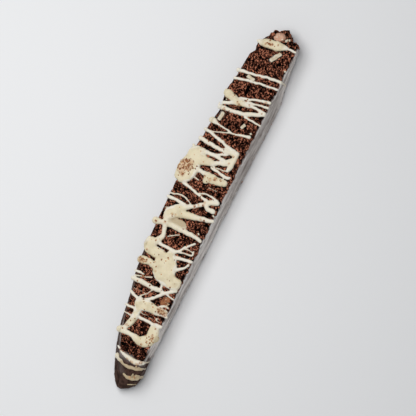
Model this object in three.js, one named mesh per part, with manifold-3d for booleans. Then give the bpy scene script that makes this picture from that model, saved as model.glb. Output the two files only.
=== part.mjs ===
// A chocolate almond biscotti: one long slice of a baked loaf, drizzled with white chocolate.
// The slice lies on one cut face. X runs along it, from the rounded heel to the broken end,
// Y runs from the loaf's flat base to its dome, and Z is up. The origin is the middle of the
// underside. Lengths are in millimetres.
import * as THREE from "three";
import { mergeVertices } from "three/addons/utils/BufferGeometryUtils.js";
import Module from "manifold-3d";

const wasm = await Module();
wasm.setup();

// Driving dimensions of the slice.
const LENGTH = 200;
const THICKNESS = 16;
const BASE_Y = -10;
const GAP = 0.3;

// The heel, where the loaf's crust rounds down to a blunt tip.
const HEEL_X = -82;
const HEEL_TIP_HEIGHT = 5;
const HEEL_DROP_POWER = 1.7;

// The broken end, whose top sinks and whose underside lifts a little.
const BREAK_X = 91;
const BREAK_DROP = 4.5;
const BREAK_LIFT = 3;

// Edges are crisp where the knife went through, and turn round towards the heel.
const CUT_EDGE_RADIUS = 0.7;
const CRUST_EDGE_RADIUS = 3.2;
const CRISP_UNTIL_X = -68;
const ROUND_FROM_X = -88;
const LARGEST_CORNER_SHARE = 0.45;
const SIDE_BULGE = 1.1;

// The white chocolate stands this far above the cut face where it ran together.
const POOL_HEIGHT = 1.9;
const POOL_EDGE = 1.1;

// Steps of the loft: stations along the slice and points on each rounded corner.
const STATIONS = 72;
const STATION_CROWDING = 0.28;
const CORNER_STEPS = 3;

const END_X = LENGTH / 2;

// A smooth curve y(x) through a few points.
function edge(...points) {
  const curve = new THREE.SplineCurve(points.map(([x, y]) => new THREE.Vector2(x, y)));
  const samples = curve.getPoints(40 * points.length);
  return (x) => {
    const next = samples.findIndex((p) => p.x >= x);
    if (next <= 0) return next < 0 ? samples.at(-1).y : samples[0].y;
    const [a, b] = [samples[next - 1], samples[next]];
    return THREE.MathUtils.mapLinear(x, a.x, b.x, a.y, b.y);
  };
}

// The four long edges of the slice: dome and base side, on the upper and the lower cut face.
const domeTop = edge(
  [-END_X, -1], [-90, 1], [HEEL_X, 4.9], [-70, 9.2], [-56, 11.7], [-36, 15.4], [0, 16.5],
  [22, 16.2], [34, 14.3], [41, 14.1], [50, 12.4], [59, 13.9], [70, 12.4], [81.5, 11.3],
  [84, 9.6], [88.5, 10.2], [93, 7.3], [96.5, 5.7], [END_X, 0.8],
);
const domeBottom = edge(
  [-END_X, 0.2], [-97, 3.4], [-90, 7], [HEEL_X, 10], [-70, 13], [-56, 14], [-36, 16.2],
  [0, 16.9], [34, 15], [60, 14.2], [82, 10.7], [93, 6.2], [END_X, 0.5],
);
const baseTop = edge(
  [-END_X, -2.6], [-97.5, -6.6], [-93, -9.3], [-88, BASE_Y], [0, BASE_Y + 0.1],
  [60, BASE_Y], [93, BASE_Y], [95.2, -8.8], [96.4, -6.3], [98.4, -4], [END_X, -0.2],
);
const baseBottom = edge(
  [-END_X, -1], [-98.4, -4.8], [-95, -8.2], [-88, -9.4], [-80, -9.3], [-40, -10.1], [0, -10.8],
  [60, -11.7], [72, -10.3], [84, -8.8], [93, -7.2], [END_X, -0.1],
);

function topHeight(x) {
  const heel = Math.max(0, (HEEL_X - x) / (END_X + HEEL_X));
  const broken = Math.max(0, (x - BREAK_X) / (END_X - BREAK_X));
  return (
    THICKNESS -
    (THICKNESS - HEEL_TIP_HEIGHT) * heel ** HEEL_DROP_POWER -
    BREAK_DROP * broken ** 2
  );
}

function bottomHeight(x) {
  return BREAK_LIFT * Math.max(0, (x - BREAK_X) / (END_X - BREAK_X)) ** 2;
}

// The closed outline of the slice across X, with its corners rounded and its two sides bulging.
// grow moves the whole outline outwards.
function section(x, grow) {
  const [low, high] = [bottomHeight(x) - grow, topHeight(x) + grow];
  const [b0, b1] = [baseBottom(x) - grow, baseTop(x) - grow];
  const [d0, d1] = [domeBottom(x) + grow, domeTop(x) + grow];
  const heel = THREE.MathUtils.smoothstep(-x, -CRISP_UNTIL_X, -ROUND_FROM_X);
  const room = Math.min(high - low, d0 - b0, d1 - b1) * LARGEST_CORNER_SHARE;
  const cut = Math.min(CUT_EDGE_RADIUS, room);
  const turned = Math.min(THREE.MathUtils.lerp(CUT_EDGE_RADIUS, CRUST_EDGE_RADIUS, heel), room);
  const bulge = Math.min(SIDE_BULGE, room);
  const middle = (low + high) / 2;
  const shape = new THREE.Shape();
  shape.moveTo(b0 + cut, low);
  shape.lineTo(d0 - cut, low);
  shape.quadraticCurveTo(d0, low, d0, low + cut);
  shape.quadraticCurveTo((d0 + d1) / 2 + bulge, middle, d1, high - turned);
  shape.quadraticCurveTo(d1, high, d1 - turned, high);
  shape.lineTo(b1 + turned, high);
  shape.quadraticCurveTo(b1, high, b1, high - turned);
  shape.quadraticCurveTo((b0 + b1) / 2 - bulge, middle, b0, low + cut);
  shape.quadraticCurveTo(b0, low, b0 + cut, low);
  const ring = shape.getPoints(CORNER_STEPS);
  if (ring[0].distanceTo(ring.at(-1)) < 1e-6) ring.pop();
  return ring.map((p) => new THREE.Vector3(x, p.x, p.y));
}

// A skin over rings of equally many points, closed by a fan at each end.
function loft(rings) {
  const size = rings[0].length;
  const points = rings.flat();
  const faces = [];
  for (let r = 0; r + 1 < rings.length; r++)
    for (let i = 0; i < size; i++) {
      const [a, b] = [r * size + i, r * size + ((i + 1) % size)];
      faces.push(a, b, a + size, b, b + size, a + size);
    }
  for (const [ring, first, turned] of [
    [rings[0], 0, false],
    [rings.at(-1), points.length - size, true],
  ]) {
    const hub = points.length;
    points.push(ring.reduce((sum, p) => sum.add(p), new THREE.Vector3()).divideScalar(size));
    for (let i = 0; i < size; i++) {
      const [a, b] = [first + i, first + ((i + 1) % size)];
      faces.push(hub, ...(turned ? [a, b] : [b, a]));
    }
  }
  return new THREE.BufferGeometry().setFromPoints(points).setIndex(faces);
}

// The whole slice without its nuts. Stations crowd towards both ends.
function sliceGeometry(grow = 0) {
  const reach = END_X + grow;
  const rings = Array.from({ length: STATIONS }, (_, i) => {
    const t = (2 * i) / (STATIONS - 1) - 1;
    const crowded = THREE.MathUtils.lerp(t, Math.sin((t * Math.PI) / 2), STATION_CROWDING);
    return section(reach * crowded, grow);
  });
  return loft(rings);
}

// three.js geometry to a manifold-3d solid, and back.
function solid(geometry) {
  const bare = new THREE.BufferGeometry().setAttribute("position", geometry.getAttribute("position"));
  if (geometry.index) bare.setIndex(geometry.index);
  const merged = mergeVertices(bare, 1e-4);
  return new wasm.Manifold(
    new wasm.Mesh({
      numProp: 3,
      vertProperties: merged.getAttribute("position").array,
      triVerts: new Uint32Array(merged.index.array),
    }),
  );
}

function geometryOf(body) {
  const mesh = body.getMesh();
  return new THREE.BufferGeometry()
    .setAttribute("position", new THREE.BufferAttribute(mesh.vertProperties, 3))
    .setIndex(new THREE.BufferAttribute(mesh.triVerts, 1))
    .toNonIndexed();
}

// An egg shape of the given half sizes, turned about Z.
function egg([x, y, z], [rx, ry, rz], turn = 0, segments = 16) {
  const geometry = new THREE.SphereGeometry(1, segments, segments / 2);
  geometry.rotateX(Math.PI / 2).scale(rx, ry, rz);
  geometry.rotateZ(THREE.MathUtils.degToRad(turn)).translate(x, y, z);
  return solid(geometry);
}

// A splinter of blanched almond: a bar with rounded corners, standing into the crumb.
function splinter([x, y, z], [length, width, depth], turn, grow) {
  const [a, b] = [length / 2 + grow, width / 2 + grow];
  const r = Math.min(a, b) * 0.6;
  const shape = new THREE.Shape();
  shape.moveTo(-a + r, -b);
  shape.lineTo(a - r, -b);
  shape.quadraticCurveTo(a, -b, a, -b + r);
  shape.lineTo(a, b - r);
  shape.quadraticCurveTo(a, b, a - r, b);
  shape.lineTo(-a + r, b);
  shape.quadraticCurveTo(-a, b, -a, b - r);
  shape.lineTo(-a, -b + r);
  shape.quadraticCurveTo(-a, -b, -a + r, -b);
  const bar = new THREE.ExtrudeGeometry(shape, {
    depth: depth + 2 * grow,
    bevelEnabled: false,
    curveSegments: 4,
  });
  bar.translate(0, 0, -depth - grow).rotateZ(THREE.MathUtils.degToRad(turn)).translate(x, y, z);
  return solid(bar);
}

// The chunk of almond that looks out of the broken end, cut flat on top.
function almondChunk(grow) {
  const kernel = egg([95.2, 1.5, 11.6], [3.1 + grow, 3.6 + grow, 4.6 + grow], 20);
  const block = new THREE.BoxGeometry(20, 20, 20).translate(95.2, 1.5, 5 + grow);
  return kernel.intersect(solid(block));
}

// Half a kernel with its brown skin on, lying in the crumb beside the base.
function almondInSkin(grow) {
  return egg([-49.7, -5.9, 14.7], [3.2 + grow, 2.1 + grow, 1.6 + grow], -24);
}

const NUTS = {
  almond_chunk: almondChunk,
  almond_in_skin: almondInSkin,
  almond_splinter_end: (grow) => splinter([85.5, -1.8, THICKNESS + 0.3], [6.6, 2.1, 2.2], -32, grow),
  almond_splinter_middle: (grow) => splinter([70.7, 4.9, THICKNESS + 0.7], [4.6, 1.9, 2], 76, grow),
  almond_splinter_dome: (grow) => splinter([46.9, 10.2, THICKNESS + 0.3], [4.8, 1.9, 2.2], -7, grow),
};

// Where the white chocolate ran together: each pool is a wide stroke through a few discs,
// [x, y, radius], and a pool may have more than one stroke.
const POOLS = {
  pool_heel: [
    [[-72.7, 5, 1.4], [-73, -2, 1.6], [-72.6, -6.4, 3.2], [-67.6, -7.6, 3]],
    [[-67.6, -7.6, 3], [-63.2, -6.6, 1.5], [-62.7, 0.9, 1.1]],
  ],
  pool_cross: [
    [[-66.4, 5, 1.9], [-60, 4.9, 2.2], [-56.2, 3, 3], [-56, -3, 2.7]],
  ],
  pool_great: [
    [[-28, 13.2, 3.2], [-28, 6, 4.2], [-32.2, 3.4, 5], [-38, -1, 4], [-40, -6, 3.4]],
    [[-35.4, 14, 2.1], [-36.6, 5, 4.4], [-32.2, 3.4, 5]],
  ],
  pool_band: [
    [[-23, 11.6, 1.3], [-19.6, 10.8, 1.3], [-15.6, 13, 1.6], [-15.2, 16, 1.9]],
    [[-13.4, 12.5, 1.4], [-14, 4, 1.1], [-14, -7.4, 1.1]],
  ],
  pool_corner: [
    [[-9, 12, 2.7], [-6.4, 9, 3.4], [-1.8, 5.2, 1.6]],
    [[-6.4, 9, 3.4], [-7, 0, 1.5], [-4.2, -8.6, 1.2]],
  ],
  pool_dome: [
    [[12.4, 14, 3.9], [17.4, 14.4, 4.7], [24.4, 13.4, 4.6], [24, 6, 3.4], [23.2, 2, 1.4]],
  ],
  pool_bar: [
    [[15.4, 2.2, 2.6], [16.2, -2, 2.5], [16.9, -6, 2.1]],
  ],
  pool_base: [
    [[25, -5.4, 2], [31.6, -5, 2.4], [31.6, 2, 1.1], [32.2, 13, 1]],
    [[31.6, -5, 2.4], [34.6, 1, 1.1], [36.6, 12.8, 1]],
  ],
  pool_streak: [
    [[51.6, 13, 1.9], [51.7, 6, 1.3], [52.6, 0, 1.2], [56.4, -9, 1]],
  ],
  pool_knot: [
    [[58.3, 11, 2.5], [57.2, 5.6, 2.6], [59.6, 0, 1.1], [60.4, -9, 1.1]],
  ],
  pool_end: [
    [[90, 9.4, 1.4], [90, 5.6, 2.4], [91, 1, 2.6], [91.6, -4, 1.7], [92.2, -7.6, 1]],
  ],
};

// A straight piece of a stroke: its outline is two arcs and their common tangents, and its
// edge is rounded.
function bead([x0, y0, r0], [x1, y1, r1]) {
  const [dx, dy] = [x1 - x0, y1 - y0];
  const heading = Math.atan2(dy, dx);
  const lean = Math.acos((r0 - r1) / Math.hypot(dx, dy));
  const edgeSize = Math.min(POOL_EDGE, 0.8 * Math.min(r0, r1));
  const shape = new THREE.Shape();
  shape.absarc(x0, y0, r0 - edgeSize, heading + lean, heading - lean + 2 * Math.PI, false);
  shape.absarc(x1, y1, r1 - edgeSize, heading - lean, heading + lean, false);
  const bar = new THREE.ExtrudeGeometry(shape, {
    depth: POOL_HEIGHT,
    curveSegments: 3,
    bevelThickness: edgeSize,
    bevelSize: edgeSize,
    bevelSegments: 2,
  });
  return solid(bar.translate(0, 0, THICKNESS - edgeSize));
}

function pool(strokes, keepOut) {
  return strokes
    .flatMap((discs) => discs.slice(1).map((disc, i) => bead(discs[i], disc)))
    .reduce((sum, part) => sum.add(part))
    .subtract(keepOut);
}

const bakedDough = new THREE.MeshStandardMaterial({ color: 0x4a2c22, roughness: 0.95, metalness: 0 });
const whiteChocolate = new THREE.MeshStandardMaterial({ color: 0xe9dfbf, roughness: 0.42, metalness: 0 });
const blanchedAlmond = new THREE.MeshStandardMaterial({ color: 0xd9c3a3, roughness: 0.6, metalness: 0 });
const almondSkin = new THREE.MeshStandardMaterial({ color: 0x99603f, roughness: 0.7, metalness: 0 });

const biscotti = new THREE.Group();

function place(name, body, material) {
  const mesh = new THREE.Mesh(geometryOf(body), material);
  mesh.name = name;
  biscotti.add(mesh);
}

const nutHollows = Object.values(NUTS).map((nut) => nut(GAP));
const dough = nutHollows.reduce((body, hollow) => body.subtract(hollow), solid(sliceGeometry()));
place("biscuit", dough, bakedDough);

for (const [name, nut] of Object.entries(NUTS))
  place(name, nut(0), name === "almond_in_skin" ? almondSkin : blanchedAlmond);

const keepOut = nutHollows.reduce((body, hollow) => body.add(hollow), solid(sliceGeometry(GAP)));
for (const [name, shape] of Object.entries(POOLS)) place(name, pool(shape, keepOut), whiteChocolate);

// The part's own frame has its origin at the middle of the underside.
const bounds = new THREE.Box3().setFromObject(biscotti);
const middle = bounds.getCenter(new THREE.Vector3());
biscotti.position.set(-middle.x, -middle.y, -bounds.min.z);

export default biscotti;
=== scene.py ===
import math
import random

import bmesh
import bpy
from bpy.props import FloatProperty, FloatVectorProperty, IntProperty, PointerProperty
from mathutils import Matrix, Vector, noise
from mathutils.bvhtree import BVHTree
from mathutils.kdtree import KDTree


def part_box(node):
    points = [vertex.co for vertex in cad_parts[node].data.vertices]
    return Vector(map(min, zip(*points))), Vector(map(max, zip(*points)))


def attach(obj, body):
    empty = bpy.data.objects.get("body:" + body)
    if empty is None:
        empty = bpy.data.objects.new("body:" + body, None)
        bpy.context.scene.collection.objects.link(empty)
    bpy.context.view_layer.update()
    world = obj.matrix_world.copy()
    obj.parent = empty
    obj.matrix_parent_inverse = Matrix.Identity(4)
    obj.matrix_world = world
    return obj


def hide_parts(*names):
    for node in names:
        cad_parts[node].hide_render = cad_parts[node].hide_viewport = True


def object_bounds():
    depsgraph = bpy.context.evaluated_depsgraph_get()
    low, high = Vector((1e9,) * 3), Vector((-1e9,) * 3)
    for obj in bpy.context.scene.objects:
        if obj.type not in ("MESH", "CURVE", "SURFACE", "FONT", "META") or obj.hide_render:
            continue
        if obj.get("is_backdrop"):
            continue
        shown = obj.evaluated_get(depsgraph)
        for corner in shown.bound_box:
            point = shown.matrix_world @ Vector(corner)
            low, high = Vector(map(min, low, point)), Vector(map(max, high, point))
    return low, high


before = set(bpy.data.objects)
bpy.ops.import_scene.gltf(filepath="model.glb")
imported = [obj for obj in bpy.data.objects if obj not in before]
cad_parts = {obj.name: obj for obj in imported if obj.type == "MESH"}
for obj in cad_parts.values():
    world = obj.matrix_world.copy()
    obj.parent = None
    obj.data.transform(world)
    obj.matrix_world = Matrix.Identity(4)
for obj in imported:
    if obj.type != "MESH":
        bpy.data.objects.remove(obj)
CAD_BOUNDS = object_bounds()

bl_info = {
    "name": "Chocolate almond biscotti",
    "version": (1, 0, 0),
    "blender": (4, 5, 0),
    "location": "View3D > Sidebar > Biscotti",
    "description": "Bakes, cuts and drizzles one slice of chocolate almond biscotti",
    "category": "Add Mesh",
}

MM = 0.001
UP = Vector((0, 0, 1))

# Places on the slice are given in millimetres: x along it from its middle towards the broken
# end, y across it from a line 10 mm above the base edge of the cut face towards the dome.
LOW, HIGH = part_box("biscuit")
LINE_Y = LOW.y + 11.672 * MM
TOP = HIGH.z
HEEL_X = -82.0
BREAK_X = 92.0
SLOPE_X = 93.0  # beyond it the broken crumb falls away from the cut face
RAY_START = 40.0  # well clear of the slice, for the rays that are cast at it


def on_slice(x, y, z=0.0):
    """The point in the row frame, in metres, at x and y on the slice and z above its underside."""
    return Vector((x * MM, LINE_Y + y * MM, z * MM))


def place_on_slice(point):
    """The x and y on the slice, in millimetres, of a point in metres."""
    return point.x / MM, (point.y - LINE_Y) / MM


def hit_from_above(faces, x, y):
    """Where a ray cast straight down at x and y meets the faces, or None."""
    return faces.ray_cast(on_slice(x, y, RAY_START), -UP)[0]


def smooth_range(low, high, value):
    """0 below low and 1 above high, with a smooth rise between them."""
    t = min(1.0, max(0.0, (value - low) / (high - low)))
    return t * t * (3 - 2 * t)


def ripple(place, size):
    """Soft noise about 0 at a place in metres, with waves of a size in millimetres."""
    return noise.noise(place / (size * MM))


def swell(place, size, octaves=2):
    """Noise like ripple's, with finer waves on the broad ones."""
    return noise.fractal(place / (size * MM), 1.0, 2.0, octaves)


# ---------- Settings


def length(name, description, default):
    """A length property in metres."""
    return FloatProperty(
        name=name, description=description, default=default, unit="LENGTH", precision=5
    )


def colour(name, subject, *rgb):
    """The colour property of a subject, from eight-bit display values."""
    shares = [value / 255 for value in rgb]
    linear = [c / 12.92 if c < 0.04045 else ((c + 0.055) / 1.055) ** 2.4 for c in shares]
    return FloatVectorProperty(
        name=name, description=f"Colour of {subject}", default=linear, subtype="COLOR", size=3, min=0, max=1
    )


class BISCOTTI_PG_dough(bpy.types.PropertyGroup):
    """Sizes and colours of the baked slice."""

    skin_step: length("Skin step", "Size of the faces of the biscuit's skin", 0.46 * MM)
    grain_size: length("Grain size", "Size of the lumps of the crumb", 1.03 * MM)
    grain_height: length("Grain height", "How far the lumps of the crumb stand out", 0.36 * MM)
    pore_depth: length("Pore depth", "Depth of the largest pores of the crumb", 1.1 * MM)
    break_height: length("Break height", "Size of the lumps on the broken end", 1.4 * MM)
    crumb: colour("Crumb", "the cut crumb", 95, 52, 38)
    # The crumb's colour follows its relief: lighter on raised grains and near black in its hollows and
    # pores, a painted light and shade laid over the real relief.
    crumb_light: colour("Light crumb", "the crumb's raised grains", 194, 124, 96)
    crumb_dark: colour("Dark crumb", "the crumb's hollows", 9, 4, 3)
    pore: colour("Pore", "the insides of the deepest pores", 5, 2, 1)
    crust: colour("Crust", "the dome and heel crust", 86, 64, 56)
    crust_dark: colour("Dark crust", "the crust's darker patches", 42, 29, 25)
    # Partly flour and mostly painted sheen: the base is coloured pale to stand in for the grazing reflection
    # of the bright floor on its shaded wall.
    base: colour("Base crust", "the base, baked smooth against the tray", 243, 236, 231)
    base_dark: colour("Dark base crust", "the base's darker streaks", 166, 156, 150)
    # Painted highlight: a pale line along the rim where the base meets the cut, where the crust edge catches
    # the light.
    rim_highlight: colour("Base lip", "the flaky rim where the base meets the cut", 240, 236, 232)


class BISCOTTI_PG_drizzle(bpy.types.PropertyGroup):
    """Sizes and colours of the white chocolate."""

    skin_step: length("Skin step", "Size of the faces of the chocolate's skin", 0.29 * MM)
    fullness: length("Fullness", "Height of the thickest pools above the crumb", 1.7 * MM)
    wobble: length("Wobble", "How far the strokes wander sideways", 0.32 * MM)
    chocolate: colour("White chocolate", "the thick chocolate", 232, 219, 186)
    # Painted sheen: the thin threads are coloured whiter than the pools to stand in for their brighter
    # highlights.
    thread_sheen: colour("Thin chocolate", "the threads, which set whiter", 240, 233, 217)
    shade: colour("Dull chocolate", "the chocolate's duller patches", 212, 197, 162)
    film: colour("Chocolate film", "chocolate so thin that the dough shows through", 190, 171, 138)
    tan: colour("Tan stain", "the stain round a crumb in the chocolate", 200, 142, 84)
    smear: colour("Crumb smear", "crumb rubbed into the chocolate", 142, 84, 54)


class BISCOTTI_PG_nuts(bpy.types.PropertyGroup):
    """Sizes and colours of the almonds and the loose crumbs."""

    skin_step: length("Skin step", "Size of the faces of the almonds' skin", 0.22 * MM)
    flesh: colour("Almond flesh", "cut almond", 228, 219, 198)
    flesh_dark: colour("Toasted almond", "toasted almond", 200, 180, 148)
    chunk: colour("Almond chunk", "the chunk at the broken end", 222, 178, 152)
    chunk_dark: colour("Dark almond chunk", "the chunk's darker patches", 186, 136, 110)
    skin: colour("Almond skin", "the almond's brown skin", 118, 67, 42)
    skin_light: colour("Light almond skin", "the skin's lighter patches", 174, 114, 74)
    crumb: colour("Loose crumb", "the loose crumbs", 188, 132, 86)
    crumb_dark: colour("Dark loose crumb", "the darkest loose crumbs", 132, 82, 54)
    crumb_count: IntProperty(name="Crumbs", description="Number of loose crumbs", default=260, min=0)


class BISCOTTI_PG_stage(bpy.types.PropertyGroup):
    """The floor, the lights and the camera."""

    camera_distance: length("Camera distance", "From the camera to the middle of its view", 1.2)
    camera_tilt: FloatProperty(
        name="Camera tilt", description="How far the camera leans towards the base side",
        default=math.radians(13), subtype="ANGLE",
    )
    camera_roll: FloatProperty(
        name="Camera roll", description="How far the slice's length is turned from level in the view",
        default=math.radians(63.86), subtype="ANGLE",
    )
    view_width: length("View width", "Width of what the camera sees at the cut face", 0.2097)
    floor: colour("Floor", "the table", 240, 240, 241)
    key_power: FloatProperty(
        name="Key light", description="Power of the main light", default=3.7, unit="POWER"
    )
    sky: FloatProperty(name="Sky", description="Strength of the light from all round", default=0.3)


class BISCOTTI_PG_settings(bpy.types.PropertyGroup):
    """All settings of the biscotti."""

    dough: PointerProperty(type=BISCOTTI_PG_dough)
    drizzle: PointerProperty(type=BISCOTTI_PG_drizzle)
    nuts: PointerProperty(type=BISCOTTI_PG_nuts)
    stage: PointerProperty(type=BISCOTTI_PG_stage)


# ---------- Shader nodes


def add_node(tree, kind, inputs=None, **settings):
    """A new node, with its settings, and with values or links for its inputs."""
    node = tree.nodes.new(kind)
    for name, value in settings.items():
        setattr(node, name, value)
    for name, value in (inputs or {}).items():
        socket = node.inputs[name]
        if isinstance(value, bpy.types.NodeSocket):
            tree.links.new(value, socket)
        elif socket.type == "RGBA":
            socket.default_value = (*value, 1)
        else:
            socket.default_value = value
    return node


def mix_colours(tree, factor, first, second):
    """The colour between first and second."""
    inputs = {0: factor, 6: first, 7: second}
    return add_node(tree, "ShaderNodeMix", inputs, data_type="RGBA", clamp_factor=True).outputs[2]


def remap(tree, value, low, high, to_low=0.0, to_high=1.0):
    """value carried smoothly from low..high to to_low..to_high."""
    node = add_node(
        tree, "ShaderNodeMapRange",
        {"Value": value, "From Min": low, "From Max": high, "To Min": to_low, "To Max": to_high},
        interpolation_type="SMOOTHSTEP",
    )
    return node.outputs["Result"]


def calculate(tree, operation, first, second):
    """first and second added, multiplied, and so on."""
    return add_node(tree, "ShaderNodeMath", {0: first, 1: second}, operation=operation).outputs[0]


def new_group(name, outputs, **inputs):
    """An empty shader node group, the sockets it is given and the sockets of its result."""
    group = bpy.data.node_groups.new(name, "ShaderNodeTree")
    sockets = group.interface
    sockets.new_socket(name="Vector", in_out="INPUT", socket_type="NodeSocketVector")
    for key, default in inputs.items():
        kind = "NodeSocketFloat" if isinstance(default, float) else "NodeSocketColor"
        sockets.new_socket(name=key, in_out="INPUT", socket_type=kind).default_value = default
    for key, kind in outputs.items():
        sockets.new_socket(name=key, in_out="OUTPUT", socket_type=kind)
    given, result = group.nodes.new("NodeGroupInput"), group.nodes.new("NodeGroupOutput")
    return group, given.outputs, result.inputs


def texture(group, kind, given, **inputs):
    """The outputs of a texture node that reads the group's Vector and Scale."""
    inputs = {"Vector": given["Vector"], "Scale": given["Scale"], **inputs}
    return add_node(group, kind, inputs).outputs


def mottle_group():
    """Two colours in soft patches, with a finer grain inside the patches."""
    group, given, result = new_group(
        "Mottle", {"Color": "NodeSocketColor", "Mask": "NodeSocketFloat"},
        Scale=500.0, Balance=0.5, Softness=0.12, Dark=(0, 0, 0, 1), Light=(1, 1, 1, 1),
    )
    patches = texture(group, "ShaderNodeTexNoise", given, Detail=3.0, Roughness=0.6)["Fac"]
    low = calculate(group, "SUBTRACT", given["Balance"], given["Softness"])
    high = calculate(group, "ADD", given["Balance"], given["Softness"])
    mask = remap(group, patches, low, high)
    group.links.new(mix_colours(group, mask, given["Dark"], given["Light"]), result["Color"])
    group.links.new(mask, result["Mask"])
    return group


def specks_group():
    """A mask of small scattered specks of uneven size."""
    outputs = {"Mask": "NodeSocketFloat"}
    group, given, result = new_group("Specks", outputs, Scale=500.0, Size=0.3, Share=0.3)
    warp = texture(group, "ShaderNodeTexNoise", given, Detail=2.0)["Fac"]
    cells = texture(group, "ShaderNodeTexVoronoi", given)
    luck = add_node(group, "ShaderNodeSeparateColor", {"Color": cells["Color"]}).outputs["Red"]
    chosen = calculate(group, "LESS_THAN", luck, given["Share"])
    size = calculate(group, "MULTIPLY", given["Size"], calculate(group, "MULTIPLY", warp, 2.0))
    solid_part = calculate(group, "MULTIPLY", size, 0.6)
    speck = remap(group, cells["Distance"], solid_part, size, 1.0, 0.0)
    group.links.new(calculate(group, "MULTIPLY", chosen, speck), result["Mask"])
    return group


def relief_group():
    """A height of fine grain, for bumps."""
    outputs = {"Height": "NodeSocketFloat"}
    group, given, result = new_group("Fine relief", outputs, Scale=1500.0, Lumps=0.5)
    grain = texture(group, "ShaderNodeTexNoise", given, Detail=4.0, Roughness=0.62)["Fac"]
    lumps = texture(group, "ShaderNodeTexVoronoi", given)["Distance"]
    height = calculate(group, "SUBTRACT", grain, calculate(group, "MULTIPLY", lumps, given["Lumps"]))
    group.links.new(height, result["Height"])
    return group


EFFECTS = {"Mottle": mottle_group, "Specks": specks_group, "Fine relief": relief_group}


class Paint:
    """A new material with its Principled shader, and the coordinates its patterns read."""

    def __init__(self, name, roughness, specular):
        self.material = bpy.data.materials.new(name)
        self.material.use_nodes = True
        self.tree = self.material.node_tree
        self.shader = self.tree.nodes["Principled BSDF"]
        self.shader.inputs["Roughness"].default_value = roughness
        self.shader.inputs["Specular IOR Level"].default_value = specular
        self.place = self.tree.nodes.new("ShaderNodeTexCoord").outputs["Object"]

    def drawn_out(self, share):
        """The coordinates with patterns drawn out along the slice."""
        mapping = add_node(self.tree, "ShaderNodeMapping", {"Vector": self.place, "Scale": (share, 1, 1)})
        return mapping.outputs["Vector"]

    def pattern(self, name, output, **inputs):
        """One output of a shared effect, whose group is built the first time it is asked for."""
        group = bpy.data.node_groups.get(name) or EFFECTS[name]()
        inputs = {"Vector": self.place, **inputs}
        return add_node(self.tree, "ShaderNodeGroup", inputs, node_tree=group).outputs[output]

    def attribute(self, name):
        """A value that the mesh stores at its points."""
        return add_node(self.tree, "ShaderNodeAttribute", attribute_name=name).outputs["Fac"]

    def feed(self, socket, value):
        """Links value to a socket of the shader."""
        self.tree.links.new(value, self.shader.inputs[socket])

    def bump(self, distance, strength, **relief):
        """Fine bumps from the shared relief."""
        height = self.pattern("Fine relief", "Height", **relief)
        inputs = {"Height": height, "Strength": strength, "Distance": distance}
        self.feed("Normal", add_node(self.tree, "ShaderNodeBump", inputs).outputs["Normal"])


# ---------- Meshes


def new_piece(name, mesh, material, slot, replaces=()):
    """Links a finished mesh as a piece that rides on the root body."""
    piece = bpy.data.objects.new(name, mesh)
    bpy.context.scene.collection.objects.link(piece)
    mesh.materials.append(material)
    mesh.shade_smooth()
    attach(piece, "root")
    if replaces:
        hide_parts(*replaces)


def node_copy(name):
    """A bmesh copy of a CAD node, with its loose triangles merged."""
    copy = bmesh.new()
    copy.from_mesh(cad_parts[name].data)
    bmesh.ops.remove_doubles(copy, verts=copy.verts, dist=0.001 * MM)
    return copy


def finished_mesh(bm, name):
    """A mesh of what is in bm, which is freed."""
    mesh = bpy.data.meshes.new(name)
    bm.to_mesh(mesh)
    bm.free()
    return mesh


def skin_over(bm, name, step, smoothing=0):
    """A mesh of even faces round everything in bm, which is freed."""
    raw = finished_mesh(bm, name + "_raw")
    carrier = bpy.data.objects.new(name + "_carrier", raw)
    bpy.context.scene.collection.objects.link(carrier)
    remesh = carrier.modifiers.new("Skin", "REMESH")
    remesh.mode = "VOXEL"
    remesh.voxel_size = step
    if smoothing:
        smooth = carrier.modifiers.new("Smooth", "SMOOTH")
        smooth.factor = 0.5
        smooth.iterations = smoothing
    evaluated = carrier.evaluated_get(bpy.context.evaluated_depsgraph_get())
    skin = bpy.data.meshes.new_from_object(evaluated)
    skin.name = name
    bpy.data.objects.remove(carrier)
    bpy.data.meshes.remove(raw)
    if not skin.polygons:
        raise RuntimeError(f"the skin of {name} came out empty")
    return skin


def finished_faces(name):
    """A search tree of the faces of a piece that is already made, to set other things on."""
    piece = bpy.data.objects.get(name)
    if piece is None:
        raise RuntimeError(f"{name} has to be made first")
    bm = bmesh.new()
    bm.from_mesh(piece.data)
    faces = BVHTree.FromBMesh(bm)
    bm.free()
    return faces


def push_out(mesh, offsets):
    """Moves each point of the mesh along its normal."""
    normals = [vertex.normal.copy() for vertex in mesh.vertices]
    for vertex, normal, offset in zip(mesh.vertices, normals, offsets):
        vertex.co += normal * offset
    mesh.update()


def lay_surface(mesh, names, rows):
    """Moves each point by its row's first value, and stores the others by name for the materials."""
    offsets, *columns = zip(*rows)
    push_out(mesh, offsets)
    for name, values in zip(names, columns):
        mesh.attributes.new(name, "FLOAT", "POINT").data.foreach_set("value", list(values))


# ---------- The baked slice

HEEL_BOW = 0.32  # how sharply the heel's crust curves round the dome side
USUAL_GAP = 0.55  # from a point to the nearest grain, in grain sizes
FINE_GRAIN = 0.6  # size of the fine grains between the coarse ones
SMALLEST_PIT = 0.06
PIT_FLOOR = 0.35  # share of a pit's radius over which it is deepest
PIT_LUCK = 7.3  # spreads the pits' widths unevenly
CHIP_DEPTH = 0.8 * MM  # of the chips along the cut's edges
STRAY_SIZE, CHIP_SIZE, HAZE_SIZE = 2.5, 2.2, 7  # of the waves that make each uneven

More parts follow.
